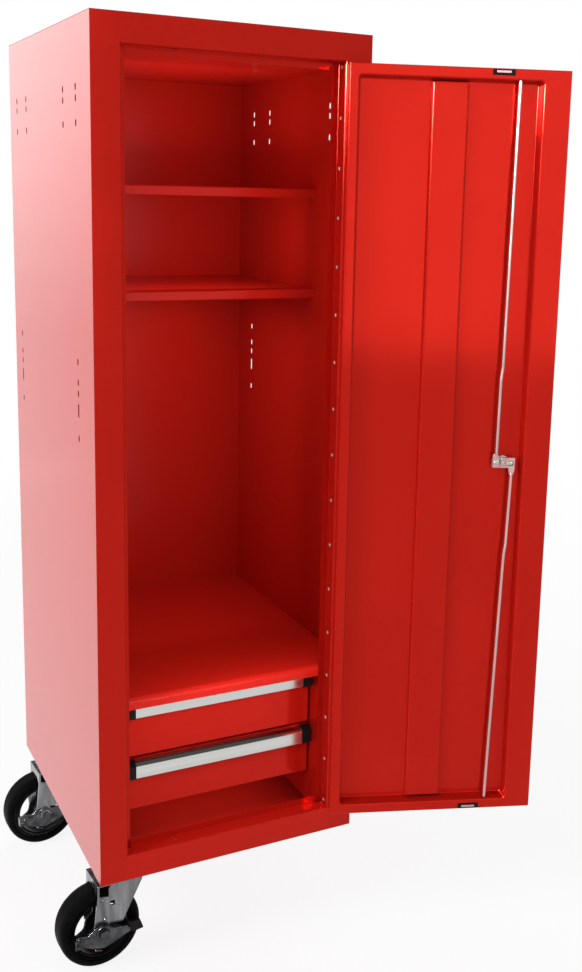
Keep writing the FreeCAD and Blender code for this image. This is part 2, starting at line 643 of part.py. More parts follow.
def pull(zt, h, x0, x1):
    """Drawer pull: a hooked channel with a falling, slightly domed top, open below."""
    f = DRAWER_FACE_Y
    d = PULL_DEPTH
    s = PULL_SKIN
    fall = PULL_DROP
    outside = ((f - 1.0, zt), (f - d * 0.52, zt - fall * 0.3), (f - d, zt - fall))
    inside = ((f - d + s, zt - fall - 0.8), (f - d * 0.52, zt - fall * 0.3 - s - 0.4), (f - s - 0.4, zt - s))
    low = zt - h
    corners = [(f, zt), outside, (f - d, low), (f - d + 2.2, low), (f - d + 2.2, low + 1.6),
               (f - d + s, low + 1.6), inside, (f - s, low + 6.0), (f, low + 6.0)]
    return extruded_along_x(corners, x0, x1)


def cap_solid(zt, h, x0, x1):
    """End cap, a little larger than the pull all round."""
    f = DRAWER_FACE_Y
    d = PULL_DEPTH + 0.8
    top = ((f - 1.5, zt + 0.9), (f - d * 0.55, zt - PULL_DROP * 0.22), (f - d, zt - PULL_DROP + 0.8))
    return extruded_along_x([(f, zt + 0.9), top, (f - d, zt - h - 1.0), (f, zt - h - 1.0)], x0, x1)


def drawers():
    x0 = DRAWER_X0
    x1 = CAB_W - DRAWER_X0
    yf = DRAWER_FACE_Y
    in_l, in_r = slide_x()
    outers = []
    for name, z0, z1 in DRAWERS:
        # the pull stands at the face's top; the face is a folded pan
        face = block(x0, yf, z0, x1, yf + 12.0, z1)
        face = face.makeFillet(1.4, [e for e in face.Edges if abs(e.BoundBox.YMax - yf) < 1e-6])
        room = block(x0 + SHEET, yf + SHEET, z0 + SHEET, x1 - SHEET, yf + 20.0, z1 - SHEET)
        save("drawer_front_" + name, face.cut(room))
        bx0 = x0 + TRAY_INSET
        bx1 = x1 - TRAY_INSET
        yt = yf + SHEET
        body = tray(bx0, yt, z0 + 6.0, bx1, yt + DRAWER_DEPTH, z1 - 14.0, SHEET)
        save("drawer_tray_" + name, body)
        zt = z1 - 1.0
        h = PULL_H[name]
        save("drawer_pull_" + name, pull(zt, h, x0 + CAP_W, x1 - CAP_W))
        caps = []
        for a, b, outside in ((x0, x0 + CAP_W, x0), (x1 - CAP_W, x1, x1)):
            cap = cap_solid(zt, h, a, b)
            round_ = [e for e in cap.Edges if abs(e.BoundBox.XMin - outside) < 1e-6
                      and abs(e.BoundBox.XMax - outside) < 1e-6 and e.BoundBox.YMax < yf - 0.1]
            caps.append(cap.makeFillet(1.2, round_) if round_ else cap)
        save("pull_caps_" + name, Part.Compound(caps))
        # three-member slides: fixed channel on the liner, middle member, inner member on the tray
        sz0 = (z0 + z1) / 2.0 - SLIDE_H / 2.0 - 6.0
        sy0 = yf + 14.0
        sy1 = sy0 + DRAWER_DEPTH - 8.0
        fixed = []
        middle = []
        inner = []
        for x, s in ((in_l, 1), (in_r, -1)):
            fixed.append(span(x, x + s * SLIDE_T, sy0, sy1, sz0, SLIDE_H))
            a = x + s * (SLIDE_T + 0.4)
            middle.append(span(a, a + s * SLIDE_T, sy0, sy1, sz0 + 4.0, SLIDE_H - 8.0))
            b = a + s * (SLIDE_T + 0.4)
            inner.append(span(b, b + s * SLIDE_T, sy0, sy1, sz0 + 7.0, SLIDE_H - 14.0))
        outers += fixed
        save("slide_middle_" + name, Part.Compound(middle))
        save("slide_inner_" + name, Part.Compound(inner))
    save("slides_fixed", Part.Compound(outers))


def span(xa, xb, y0, y1, z0, h):
    return block(min(xa, xb), y0, z0, max(xa, xb), y1, z0 + h)


# ---------------------------------------------------------------- casters
def caster_holes(ky):
    out = []
    for sx in (-1, 1):
        for sy in (-1, 1):
            out.append((KING_X + sx * (PLATE_X / 2.0 - 11.0), ky + sy * (PLATE_Y / 2.0 - 11.0)))
    return out


def caster(name, ky):
    axis = Vector(KING_X, ky, 0)
    ax = KING_X - TRAIL
    az = AXLE_Z
    plate = block(KING_X - PLATE_X / 2.0, ky - PLATE_Y / 2.0, -4.0, KING_X + PLATE_X / 2.0, ky + PLATE_Y / 2.0, 0)
    plate = plate.makeFillet(8.0, [e for e in plate.Edges if e.BoundBox.ZLength > 3.0])
    bores = [rod(BOLT_R + 0.2, Vector(x, y, -6), Vector(x, y, 2)) for x, y in caster_holes(ky)]
    kingpin = Part.makeCylinder(6.0, 26.0, Vector(KING_X, ky, -27.0))
    kingpin = kingpin.fuse(Part.makeCylinder(10.0, 4.0, Vector(KING_X, ky, -26.8)))
    race = Part.makeCylinder(27.0, 5.0, Vector(KING_X, ky, -9.0))
    save("caster_plate_" + name, cut_all(fuse_all([plate, race, kingpin]), bores))

    def swung(shape):
        return turn(shape, SWIVEL_REST, axis, UP)

    # swivel head: ball-race cup below the plate
    cup = Part.makeCylinder(31.0, 9.4, Vector(KING_X, ky, -19.0))
    cup = cup.makeFillet(3.0, [e for e in cup.Edges if abs(e.BoundBox.ZMax + 9.6) < 1e-6])
    cup = cup.cut(Part.makeCylinder(6.0 + RUN_CLR, 30.0, Vector(KING_X, ky, -30.0)))
    save("caster_head_" + name, swung(cup))

    # fork: crown, side flange and two legs narrowing to the axle
    wide0 = KING_X - 41.0
    wide1 = KING_X + 41.0
    out_y = FORK_IN + FORK_T
    crown_z = -19.0
    crown = block(wide0, ky - out_y, crown_z - FORK_T, wide1, ky + out_y, crown_z)
    # the side flange is deeper at the legs and leaves room for the tyre between them
    half = [(out_y, 0.0), (out_y, -APRON_H - 4.5), (out_y - FORK_T, -APRON_H - 4.5),
            (out_y - 5.5, -APRON_H - 1.0), (15.0, -APRON_H + 6.0)]
    skirt = [(ky - a, crown_z + b) for a, b in half] + [(ky + a, crown_z + b) for a, b in half[::-1]]
    apron = polygon(skirt, lambda a, b: Vector(wide0, a, b), Vector(FORK_T, 0, 0))
    legs = []
    outline = [(ax - 9.0, az + 66.0), (ax + 11.2, az + 62.5), (ax + 11.2, az + 76.0), (ax + 17.5, crown_z),
               (wide1, crown_z), (wide1 - 2.0, -27.0), (ax + 35.2, az + 9.2), (ax + 12.0, az + 11.5),
               (ax + 13.0, az - 7.0), (ax + 7.5, az - 13.0), (ax - 7.5, az - 13.0), (ax - 14.5, az - 6.0),
               (ax - 16.2, az + 5.5), (ax - 13.9, az + 15.0)]
    for y in (ky - out_y, ky + FORK_IN):
        leg = polygon(outline, lambda a, b, y=y: Vector(a, y, b), Vector(0, FORK_T, 0))
        leg = leg.cut(rod(AXLE_R + 0.1, Vector(ax, y - 1, az), Vector(ax, y + FORK_T + 1, az)))
        square = block(ax + 13.2, y - 1, az + 45.0, ax + 21.8, y + FORK_T + 1, az + 53.5)
        legs.append(leg.cut(square))
    # small rivet heads on the near leg
    near = ky - out_y
    for x, z in ((ax + 1.5, az + 57.0), (ax + 4.5, az + 20.5)):
        legs.append(rod(2.6, Vector(x, near - 1.0, z), Vector(x, near + 1.0, z)))
    fork = fuse_all([crown, apron] + legs)
    fork = fork.cut(Part.makeCylinder(6.0 + RUN_CLR, 30.0, Vector(KING_X, ky, -30.0)))
    save("caster_fork_" + name, swung(fork))

    # axle bolt with a hexagon head at the rear, a washer and a nut in front of the brake lever
    shank = rod(AXLE_R, Vector(ax, near - 14.0, az), Vector(ax, ky + out_y + 0.5, az))
    head = hexagon(ax, az, 10.0, ky + out_y, 6.0)
    washer = rod(14.5, Vector(ax, near - 8.2, az), Vector(ax, near - 6.8, az))
    washer = washer.makeFillet(0.6, [e for e in washer.Edges if abs(e.BoundBox.YMax - near + 8.2) < 1e-6])
    nut = hexagon(ax, az, 10.0, near - 14.0, 6.0)
    save("caster_axle_" + name, swung(fuse_all([shank, head, washer, nut])))

    # wheel: pressed core with crescent windows, and a rubber tyre on it
    save("caster_wheel_" + name, swung(wheel_core(ax, ky, az)))
    save("caster_tyre_" + name, swung(tyre(ax, ky, az)))

    lever, pad = brake(ax, near, az)
    save("brake_lever_" + name, swung(lever))
    save("brake_pad_" + name, swung(pad))


def hexagon(x, z, r, y, thick):
    pts = []
    for i in range(6):
        a = math.radians(60 * i + 15)
        pts.append((x + r * math.cos(a), z + r * math.sin(a)))
    return polygon(pts, lambda a, b: Vector(a, y, b), Vector(0, thick, 0))


def revolve_y(section, x, y, z):
    """Turn a section of (radius, offset along the axle) points about the axle."""
    pts = [Vector(x + r, y + o, z) for r, o in section]
    face = Part.Face(Part.makePolygon(pts + [pts[0]]))
    return face.revolve(Vector(x, y, z), BACK, 360)


def tyre(x, y, z):
    h = TREAD_W / 2.0
    r = WHEEL_R
    near = [(RIM_R, h - 3.0), (RIM_R + 1.0, h - 0.6), (RIM_R + 3.0, h - 0.2), (RIM_R + 3.8, h - 1.8),
            (RIM_R + 5.2, h - 1.8), (RIM_R + 6.0, h), (r - 9.0, h), (r - 5.0, h - 1.2), (r - 2.2, h - 4.2),
            (r - 0.6, h - 8.5), (r, h - 14.0)]
    far = [(a, -b) for a, b in near[::-1]]
    return revolve_y(near + far, x, y, z)


def wheel_core(x, y, z):
    h = TREAD_W / 2.0
    w = WEB_T / 2.0
    bore = AXLE_R + RUN_CLR
    hub = FORK_IN - 0.4
    side = [(RIM_R, h - 3.0), (RIM_R - 1.0, h - 1.6), (RIM_IN + 1.0, h - 1.6), (RIM_IN, h - 3.0),
            (RIM_IN, w + 3.0), (RIM_IN - 3.0, w), (16.0, w), (12.5, w + 3.5), (11.5, hub), (bore, hub)]
    section = side + [(a, -b) for a, b in side[::-1]]
    core = revolve_y(section, x, y, z)
    # windows between the hub and the rim, with rounded corners
    windows = []
    for i in range(3):
        outer = Part.makeCylinder(WINDOW_R1, 20.0, Vector(x, y - 10, z), BACK, WINDOW_SPAN)
        piece = outer.cut(Part.makeCylinder(WINDOW_R0, 20.0, Vector(x, y - 10, z), BACK))
        corners = [e for e in piece.Edges if e.BoundBox.YLength > 19.0]
        piece = piece.makeFillet(6.0, corners)
        windows.append(turn(piece, -120.0 * i - WINDOW_START - 90.0, Vector(x, y, z), BACK))
    return cut_all(core, windows)


def brake(ax, near, az):
    """Brake lever turning on the axle in front of the fork, and the foot pad at its end."""
    y1 = near - 2.5
    y0 = y1 - LEVER_T
    outline = [(-50, 4.5), (-43, 7.5), (-35, 5.5), (-28, 4.2), (-22, 8.5), (-16, 13.5), (-4, 16.5), (6, 14),
               (10, 8.3), (38.5, 5), (46, -3), (47.5, -9.5), (37, -12.5), (15.5, -22), (0, -26.5),
               (-17.5, -23.5), (-36, -15), (-50, -12)]
    pts = [(ax + a, az + b) for a, b in outline]
    lever = polygon(pts, lambda a, b: Vector(a, y0, b), Vector(0, LEVER_T, 0))
    rear = rod(15.0, Vector(ax, y1, az), Vector(ax, near - 0.3, az))
    # turned-out lips at the top of the arm and at its left end
    lip = [(15, 7.7), (38.5, 5), (38.3, 3.2), (15, 5.9)]
    flange = polygon([(ax + a, az + b) for a, b in lip], lambda a, b: Vector(a, y0 - 3.0, b), Vector(0, 3.5, 0))
    tab = block(ax - 53.0, y0 - 7.0, az - 11.0, ax - 50.0, y1, az + 5.5)
    curl = rod(3.0, Vector(ax - 46.5, y0 - 3.0, az - 10.5), Vector(ax - 46.5, y1, az - 10.5))
    ring = rod(4.2, Vector(ax - 42.5, y0 - 1.4, az - 0.5), Vector(ax - 42.5, y0 + 1, az - 0.5))
    ring = ring.cut(rod(1.6, Vector(ax - 42.5, y0 - 3, az - 0.5), Vector(ax - 42.5, y0 + 2, az - 0.5)))
    rib = polygon([(ax + a, az + b) for a, b in ((-36, 3), (-24, -1), (-24, -10), (-38, -11))],
                  lambda a, b: Vector(a, y0 - 1.2, b), Vector(0, 2.0, 0))
    rib = rib.makeChamfer(1.0, [e for e in rib.Edges if abs(e.BoundBox.YMax - y0 + 1.2) < 1e-6])
    stud = rod(1.8, Vector(ax - 16.0, y0 - 3.0, az - 25.5), Vector(ax - 16.0, y1, az - 25.5))
    wire = rod(1.1, Vector(ax - 16.0, y0 - 2.0, az - 25.5), Vector(ax - 5.5, y0 - 2.0, az - 28.5))
    lever = fuse_all([lever, rear, flange, tab, curl, ring, rib, stud, wire])
    lever = lever.cut(rod(AXLE_R + RUN_CLR, Vector(ax, y0 - 1, az), Vector(ax, near + 1, az)))
    sole = [(42.0, 9.0), (63.5, 8.5), (69.5, -8.5), (49.5, -10.5)]
    pad = polygon([(ax + a, az + b) for a, b in sole], lambda a, b: Vector(a, y0 - 3.0, b), Vector(0, 9.0, 0))
    pad = pad.makeFillet(1.6, [e for e in pad.Edges if e.BoundBox.YLength > 5.0])
    inset = polygon(pts, lambda a, b: Vector(a, y0, b), Vector(0, LEVER_T, 0))
    return lever, pad.cut(inset.fuse(flange))


def caster_bolts():
    out = []
    for ky in (KING_Y, CAB_D - KING_Y):
        for x, y in caster_holes(ky):
            shank = rod(BOLT_R, Vector(x, y, -4.0), Vector(x, y, 9.0))
            head = rod(7.0, Vector(x, y, -6.0), Vector(x, y, -4.0))
            nut = rod(7.0, Vector(x, y, SHEET), Vector(x, y, 7.5))
            out.append(fuse_all([shank, head, nut]))
    save("caster_bolts", Part.Compound(out))


shell()
frame()
shelves()
drawer_bay()
hinge()
door()
lock()
drawers()
caster("front", KING_Y)
caster("rear", CAB_D - KING_Y)
caster_bolts()
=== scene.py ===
"""Tool chest side locker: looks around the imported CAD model."""

import json
import math

import bmesh
import bpy
from mathutils import Matrix, Vector


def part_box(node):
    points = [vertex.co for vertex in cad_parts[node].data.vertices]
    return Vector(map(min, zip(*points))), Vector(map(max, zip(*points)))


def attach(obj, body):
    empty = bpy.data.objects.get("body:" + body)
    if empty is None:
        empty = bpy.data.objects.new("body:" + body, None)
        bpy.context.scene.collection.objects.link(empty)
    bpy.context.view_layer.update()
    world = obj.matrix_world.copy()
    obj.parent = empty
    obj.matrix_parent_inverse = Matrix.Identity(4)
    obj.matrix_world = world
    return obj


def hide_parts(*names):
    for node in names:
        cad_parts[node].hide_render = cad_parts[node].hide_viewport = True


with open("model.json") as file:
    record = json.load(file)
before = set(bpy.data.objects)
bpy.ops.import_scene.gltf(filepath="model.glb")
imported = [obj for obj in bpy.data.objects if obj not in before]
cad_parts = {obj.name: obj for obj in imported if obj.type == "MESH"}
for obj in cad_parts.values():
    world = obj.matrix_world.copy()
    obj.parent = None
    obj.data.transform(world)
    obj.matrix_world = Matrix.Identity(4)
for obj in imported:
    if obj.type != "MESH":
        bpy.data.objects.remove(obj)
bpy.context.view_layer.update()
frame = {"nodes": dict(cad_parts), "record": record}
bpy.context.scene.view_settings.view_transform = "Standard"
nodes = frame["nodes"]

# ---------------------------------------------------------------- places
MM = 0.001                            # a millimetre in the frame's metres
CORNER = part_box("stile_left")[0]      # the cabinet's front left bottom corner
FLOOR_Z = min(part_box("caster_tyre_front")[0].z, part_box("caster_tyre_rear")[0].z)


def at(x, y, z):
    """A point given in millimetres from the cabinet's front left bottom corner."""
    return CORNER + Vector((x, y, z)) * MM


# ---------------------------------------------------------------- camera, solved from the body's edges
PHOTO_W = 582
PHOTO_H = 972
FOCAL_PX = 1150.65
PRINCIPAL_PX = (333.0, 407.3)
EYE = (-474.9, -1710.2, 1145.7)       # millimetres, as for at()
RIGHT = Vector((0.88934, -0.45658, 0.02476))
DOWN = Vector((-0.06193, -0.17392, -0.98281))
SENSOR = 36.0                         # millimetres along the picture's longer side
CLIP_END = 60.0


def add_camera():
    """The photograph's camera. RIGHT and DOWN are the picture's axes in the frame."""
    data = bpy.data.cameras.new("camera")
    data.sensor_width = SENSOR
    data.lens = FOCAL_PX * SENSOR / PHOTO_H
    data.shift_x = (PHOTO_W / 2 - PRINCIPAL_PX[0]) / PHOTO_H
    data.shift_y = (PRINCIPAL_PX[1] - PHOTO_H / 2) / PHOTO_H
    data.clip_end = CLIP_END
    camera = bpy.data.objects.new("camera", data)
    right = RIGHT.normalized()
    up = -(DOWN - right * DOWN.dot(right)).normalized()
    back = right.cross(up)
    turn = Matrix((right, up, back)).transposed().to_4x4()
    camera.matrix_world = Matrix.Translation(at(*EYE)) @ turn
    bpy.context.scene.collection.objects.link(camera)
    bpy.context.scene.camera = camera


# ---------------------------------------------------------------- node helpers
def srgb(r, g, b):
    """Linear colour of an 8-bit screen colour."""
    out = []
    for c in (r, g, b):
        c /= 255.0
        out.append(c / 12.92 if c <= 0.04045 else ((c + 0.055) / 1.055) ** 2.4)
    return (*out, 1.0)


def map_range(tree, value, start, end, low, high):
    """Maps start to end onto low to high, which may be numbers or sockets."""
    node = tree.nodes.new("ShaderNodeMapRange")
    for key, bound in (("From Min", start), ("From Max", end), ("To Min", low), ("To Max", high)):
        if isinstance(bound, bpy.types.NodeSocket):
            tree.links.new(bound, node.inputs[key])
        else:
            node.inputs[key].default_value = bound
    tree.links.new(value, node.inputs["Value"])
    return node.outputs["Result"]


def combine(tree, operation, one, other):
    """One of the Math node's operations on two sockets."""
    node = tree.nodes.new("ShaderNodeMath")
    node.operation = operation
    tree.links.new(one, node.inputs[0])
    tree.links.new(other, node.inputs[1])
    return node.outputs["Value"]


def rays(tree, *kinds):
    """1 for these kinds of ray, such as "Is Camera Ray", and 0 for the others."""
    path = tree.nodes.new("ShaderNodeLightPath")
    out = path.outputs[kinds[0]]
    for kind in kinds[1:]:
        out = combine(tree, "MAXIMUM", out, path.outputs[kind])
    return out


# ---------------------------------------------------------------- materials
NOISE_LOW = 0.3           # most of a noise lies between these
NOISE_HIGH = 0.7
ENAMEL_TINT = (1.0, 0.08, 0.06, 1.0)
PEEL = 160.0              # scale and depth of the paint's orange peel
PEEL_DEPTH = 0.0003
SPECK_DEPTH = 0.0002      # depth of the relief on metal and rubber
BROKEN_EDGE = 0.0008      # radius that the sharp edges of bare metal seem to have
EDGE_SAMPLES = 4
UNBRUSHED = (1.0, 1.0, 1.0)


class Surface:
    """A Principled material and short ways to wire detail into it."""

    def __init__(self, name, color, roughness, metallic=0.0, specular=0.5):
        self.material = bpy.data.materials.new(name)
        self.material.use_nodes = True
        self.tree = self.material.node_tree
        self.shader = self.tree.nodes["Principled BSDF"]
        self.put("Base Color", color)
        self.put("Roughness", roughness)
        self.put("Metallic", metallic)
        self.put("Specular IOR Level", specular)
        self.coords = self.node("ShaderNodeTexCoord")

    def put(self, socket, value):
        self.shader.inputs[socket].default_value = value

    def node(self, kind, **inputs):
        node = self.tree.nodes.new(kind)
        for key, value in inputs.items():
            node.inputs[key].default_value = value
        return node

    def link(self, out, into):
        self.tree.links.new(out, into)

    def noise(self, scale, detail, stretch=UNBRUSHED):
        """Noise in the piece's own metres. A small stretch makes it long along that axis."""
        mapping = self.node("ShaderNodeMapping", Scale=stretch)
        self.link(self.coords.outputs["Object"], mapping.inputs["Vector"])
        noise = self.node("ShaderNodeTexNoise", Scale=scale, Detail=detail)
        self.link(mapping.outputs["Vector"], noise.inputs["Vector"])
        return noise.outputs["Fac"]

    def tint(self, fac, dark, light):
        """Colour between dark and light."""
        ramp = self.node("ShaderNodeValToRGB")
        ends = ramp.color_ramp.elements
        for end, position, color in ((ends[0], NOISE_LOW, dark), (ends[1], NOISE_HIGH, light)):
            end.position = position
            end.color = color
        self.link(fac, ramp.inputs["Fac"])
        self.link(ramp.outputs["Color"], self.shader.inputs["Base Color"])

    def roughen(self, fac, low, high):
        """Roughness between low and high."""
        mapped = map_range(self.tree, fac, NOISE_LOW, NOISE_HIGH, low, high)
        self.link(mapped, self.shader.inputs["Roughness"])

    def bump(self, fac, strength, distance, edge=0.0):
        """Fine relief from a noise; edge is the radius to which sharp edges look broken."""
        node = self.node("ShaderNodeBump", Strength=strength, Distance=distance)
        self.link(fac, node.inputs["Height"])
        if edge:
            bevel = self.node("ShaderNodeBevel", Radius=edge)
            bevel.samples = EDGE_SAMPLES
            self.link(bevel.outputs["Normal"], node.inputs["Normal"])
        self.link(node.outputs["Normal"], self.shader.inputs["Normal"])


def gloss_paint(name, dark, light):
    """Gloss red stoving enamel with faint orange peel. Its reflections are red seen straight on and white
    at a glancing angle."""
    s = Surface(name, light, 0.10, metallic=0.3, specular=1.0)
    s.put("Specular Tint", ENAMEL_TINT)
    s.tint(s.noise(5.0, 3.0), dark, light)
    s.roughen(s.noise(9.0, 4.0), 0.09, 0.15)
    s.bump(s.noise(PEEL, 2.0), 0.06, PEEL_DEPTH)
    return s.material


def soft_paint(name, dark, light, specular):
    """The thinner coat of the same enamel on the large panels, with softer reflections."""
    s = Surface(name, light, 0.23, specular=specular)
    s.tint(s.noise(1.5, 1.0), dark, light)
    s.roughen(s.noise(1.2, 0.0), 0.21, 0.25)
    s.bump(s.noise(PEEL, 2.0), 0.05, PEEL_DEPTH)
    return s.material


def steel(name, color, roughness, grain=UNBRUSHED, metallic=1.0, shade=0.82):
    """Bare or plated metal. grain is the stretch of its brushing, shade how dark its darkest tint is."""
    s = Surface(name, color, roughness, metallic=metallic)
    dark = tuple(c * shade for c in color[:3]) + (1.0,)
    s.tint(s.noise(60.0, 4.0, grain), dark, color)
    s.roughen(s.noise(180.0, 3.0, grain), roughness * 0.7, roughness * 1.4)
    s.bump(s.noise(700.0, 2.0, grain), 0.08, SPECK_DEPTH, edge=BROKEN_EDGE)
    return s.material


def rubber(name, color, roughness, specular):
    """Rubber, moulded plastic or dull black paint, with a fine speckle."""
    s = Surface(name, color, roughness, specular=specular)
    light = tuple(min(1.0, c * 1.9) for c in color[:3]) + (1.0,)
    s.tint(s.noise(70.0, 4.0), color, light)
    s.bump(s.noise(1400.0, 2.0), 0.25, SPECK_DEPTH)
    return s.material


def make_materials():
    return {
        "red": gloss_paint("red_enamel", srgb(188, 28, 18), srgb(195, 31, 20)),
        "panel": soft_paint("red_panel", srgb(190, 29, 19), srgb(196, 31, 20), specular=0.38),
        "inside": soft_paint("red_inside", srgb(190, 29, 19), srgb(196, 31, 20), specular=0.13),
        "zinc": steel("zinc_plate", srgb(140, 140, 142), 0.26, grain=(1.0, 1.0, 0.3)),
        "fork": steel("fork_steel", srgb(142, 142, 144), 0.24, grain=(1.0, 1.0, 0.12), shade=0.35),
        "lever": steel("lever_steel", srgb(88, 88, 90), 0.18, shade=0.3),
        # the pink tint of the rods and magnet poles is a painted reflection of the red enamel around them
        "rod": steel("rod_steel_painted_reflection", srgb(204, 164, 162), 0.16, grain=(1.0, 1.0, 0.1)),
        "cam": steel("plated_cam", srgb(206, 202, 194), 0.18, shade=0.5),
        # the rivet heads' near-white, mostly diffuse colour is a painted highlight
        "rivet": steel("rivet_head_painted_highlight", srgb(240, 232, 230), 0.35, metallic=0.3),
        "chrome": steel("chrome", srgb(196, 196, 192), 0.12),
        "aluminium": steel("brushed_aluminium", srgb(208, 208, 204), 0.15, grain=(0.02, 1.0, 1.0)),
        "black": rubber("black_plastic", srgb(13, 13, 13), 0.40, specular=0.12),
        "tyre": rubber("tyre_rubber", srgb(9, 9, 9), 0.50, specular=0.02),
        "wheel": rubber("wheel_paint", srgb(7, 7, 7), 0.30, specular=0.05),
    }


# every other node is "red"
NODE_LOOKS = {
    "zinc": ["hinge_pin", "slides_fixed", "slide_middle_lower", "slide_middle_upper", "slide_inner_lower",
             "slide_inner_upper", "caster_plate_front", "caster_plate_rear", "caster_bolts"],
    "panel": ["side_panel_left", "top_panel"],
    "inside": ["side_panel_right", "back_panel", "ceiling_panel", "floor_pan", "shelf_upper", "shelf_lower",
               "bay_top"],
    "fork": ["caster_fork_front", "caster_fork_rear"],
    "lever": ["brake_lever_front", "brake_lever_rear", "caster_head_front", "caster_head_rear",
              "caster_axle_front", "caster_axle_rear"],
    "rod": ["rod_upper", "rod_lower", "magnet_poles"],
    "cam": ["lock_cam"],
    "rivet": ["hinge_rivets"],
    "chrome": ["lock_body", "lock_handle", "lock_core"],
    "aluminium": ["drawer_pull_lower", "drawer_pull_upper"],
    "black": ["pull_caps_lower", "pull_caps_upper", "magnet_cases", "brake_pad_front", "brake_pad_rear"],
    "tyre": ["caster_tyre_front", "caster_tyre_rear"],
    "wheel": ["caster_wheel_front", "caster_wheel_rear"],
}


def dress(materials):
    """Gives each node its material."""
    look = {name: key for key, names in NODE_LOOKS.items() for name in names}
    for name, obj in nodes.items():
        obj.data.materials.clear()
        obj.data.materials.append(materials[look.get(name, "red")])


# ---------------------------------------------------------------- caster wheels, millimetres about the axle
RIM_R = 52.0              # the tyre's seat
RIM_T = 5.5               # the rim's thickness
RIM_HALF = 21.4           # half the rim's width
BEVEL = 1.4               # of the rim's edges, along the axle
CHAMFER = 1.0             # of the rim's edges and the hub's flank, across it
RISE = 3.5                # height of the slopes from the web to the rim and hub
WEB_IN = 23.0             # the windows' inner and outer radius
WEB_OUT = 45.0
WEB_HALF = 2.5            # half the web's thickness
WINDOWS = 3
SPOKE_W = 15.0            # width of the web between two windows
SPOKE_STEPS = 20
OVERLAP = 1.0             # of a spoke with the hub and the rim
FILLET = 7.0              # of the windows' corners
FIRST_SPOKE = math.radians(-28.0)
HUB_R = 12.0
HUB_FOOT = 4.0            # how much wider the hub is at the web
HUB_HALF = 26.1           # half the hub's length
BORE_R = 5.7
TURNS = 96                # facets round the axle
SMOOTH = math.radians(32.0)


def revolve(bm, section):
    """A closed ring of a section of (radius, place along the axle) points."""
    rows = []
    for i in range(TURNS):
        a = 2.0 * math.pi * i / TURNS
        rows.append([ring_point(bm, r, a, y) for r, y in section])
    for i, row in enumerate(rows):
        skin(bm, row, rows[(i + 1) % TURNS])


def skin(bm, row, following):
    """Faces between two closed rows of as many points."""
    for k in range(len(row)):
        m = (k + 1) % len(row)
        bm.faces.new((row[k], row[m], following[m], following[k]))


def ring_point(bm, radius, angle, y):
    """A vertex at a radius and an angle about the axle, and a place along it."""
    return bm.verts.new((radius * math.cos(angle), y, radius * math.sin(angle)))


def spoke(bm, angle):
    """The web between two windows, which widens into the hub and the rim."""
    start = WEB_IN - OVERLAP
    reach = WEB_OUT + OVERLAP - start
    rows = []
    for i in range(SPOKE_STEPS + 1):
        r = start + reach * i / SPOKE_STEPS
        near = FILLET - min(max(min(r - WEB_IN, WEB_OUT - r), 0.0), FILLET)
        half = (SPOKE_W / 2.0 + FILLET - math.sqrt(FILLET ** 2 - near ** 2)) / r
        corners = ((-half, -WEB_HALF), (half, -WEB_HALF), (half, WEB_HALF), (-half, WEB_HALF))
        rows.append([ring_point(bm, r, angle + t, y) for t, y in corners])
    for row, following in zip(rows, rows[1:]):
        skin(bm, row, following)
    bm.faces.new(rows[0])
    bm.faces.new(rows[-1])


def add_wheel(end, material):
    """A pressed wheel with three windows, in place of the plainer solid."""
    node = "caster_wheel_" + end
    lo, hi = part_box(node)
    joint = next(j for j in frame["record"]["behaviour"]["joints"] if j["name"] == "wheel_%s_turn" % end)
    axle = Vector(joint["axis"])
    up = Vector((0, 0, 1))
    lip = RIM_HALF - BEVEL
    inner = RIM_R - RIM_T
    slope = WEB_HALF + RISE
    rim = [(RIM_R, lip), (RIM_R - CHAMFER, RIM_HALF), (inner + CHAMFER, RIM_HALF), (inner, lip),
           (inner, slope), (WEB_OUT, WEB_HALF)]
    hub = [(BORE_R, HUB_HALF), (HUB_R, HUB_HALF), (HUB_R + CHAMFER, slope), (HUB_R + HUB_FOOT, WEB_HALF),
           (WEB_IN, WEB_HALF)]
    bm = bmesh.new()
    for half in (rim, hub):
        revolve(bm, half + [(r, -y) for r, y in half[::-1]])
    for i in range(WINDOWS):
        spoke(bm, FIRST_SPOKE + 2.0 * math.pi / WINDOWS * i)
    bmesh.ops.recalc_face_normals(bm, faces=bm.faces)
    turn = Matrix((up.cross(axle) * -1.0, axle, up)).transposed().to_4x4()
    bm.transform(Matrix.Translation((lo + hi) / 2.0) @ turn @ Matrix.Scale(MM, 4))
    mesh = bpy.data.meshes.new("pressed_wheel_" + end)
    bm.to_mesh(mesh)
    bm.free()
    mesh.polygons.foreach_set("use_smooth", [True] * len(mesh.polygons))
    mesh.set_sharp_from_angle(angle=SMOOTH)
    wheel = bpy.data.objects.new("pressed_wheel_" + end, mesh)
    bpy.context.scene.collection.objects.link(wheel)
    mesh.materials.append(material)
    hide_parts(node)
    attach(wheel, "wheel_" + end)
    return wheel


# ---------------------------------------------------------------- room
WORLD_LEVEL = 0.32        # of the world's light on the object, where 1 is white
CEILING = 0.10            # what glossy surfaces see overhead
WALLS_END = 0.28          # the height of a direction, 1 straight up, where the walls start to darken
CEILING_START = 0.65
FLOOR_HALF = 60.0
FLOOR_COLOR = (0.9, 0.9, 0.9, 1)
FLOOR_ROUGH = 0.9
FLOOR_SPECULAR = 0.1
FLOOR_GLOW = 0.88         # share of the floor's white near the object that doesn't depend on the lamps
GLOW_NEAR = 1.3           # metres from the frame's origin, where the share starts to rise to 1
GLOW_FAR = 3.5


